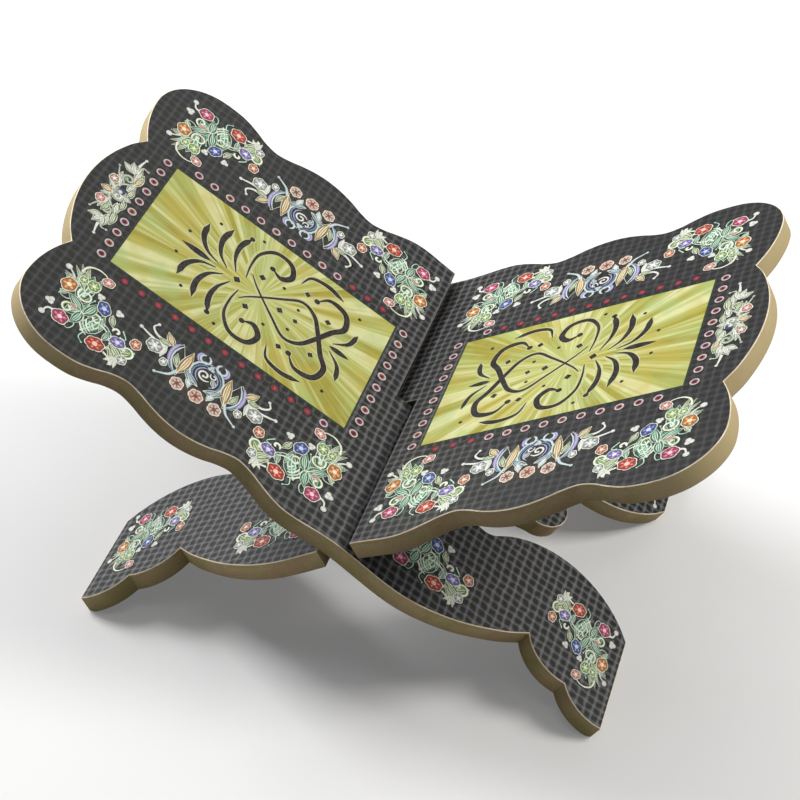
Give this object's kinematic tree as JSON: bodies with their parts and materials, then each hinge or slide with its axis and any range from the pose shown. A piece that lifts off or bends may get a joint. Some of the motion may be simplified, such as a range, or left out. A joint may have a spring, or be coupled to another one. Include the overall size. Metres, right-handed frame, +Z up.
{
  "type": "book stand",
  "caption": "Folding tabletop stand for an open book: scalloped printed boards that cross in slits, with arched legs and a V-shaped cradle.",
  "frame": {"origin": "on the floor under the middle of the crossing line", "axes": "+Z up, +X towards the right-hand panel, Y along the crossing line with -Y towards the reader"},
  "size_m": [0.312, 0.2072, 0.166],
  "materials": {
    "mdf_core": "bare sawn MDF edge, matt",
    "printed_face": "satin printed film, dark basket weave with floral and sunburst ornament",
    "backing": "plain dark balancing film, matt"
  },
  "bodies": {
    "left_board": {"left_board_core": "mdf_core", "left_printed_film": "printed_face", "left_backing_film": "backing"},
    "right_board": {"right_board_core": "mdf_core", "right_printed_film": "printed_face", "right_backing_film": "backing"}
  },
  "joints": [
    {"name": "crossing_hinge", "type": "hinge", "parent": "left_board", "child": "right_board", "pos_m": [0, 0, 0.07191], "axis": [0, -1, 0], "range_deg": [0, 58.4]}
  ]
}
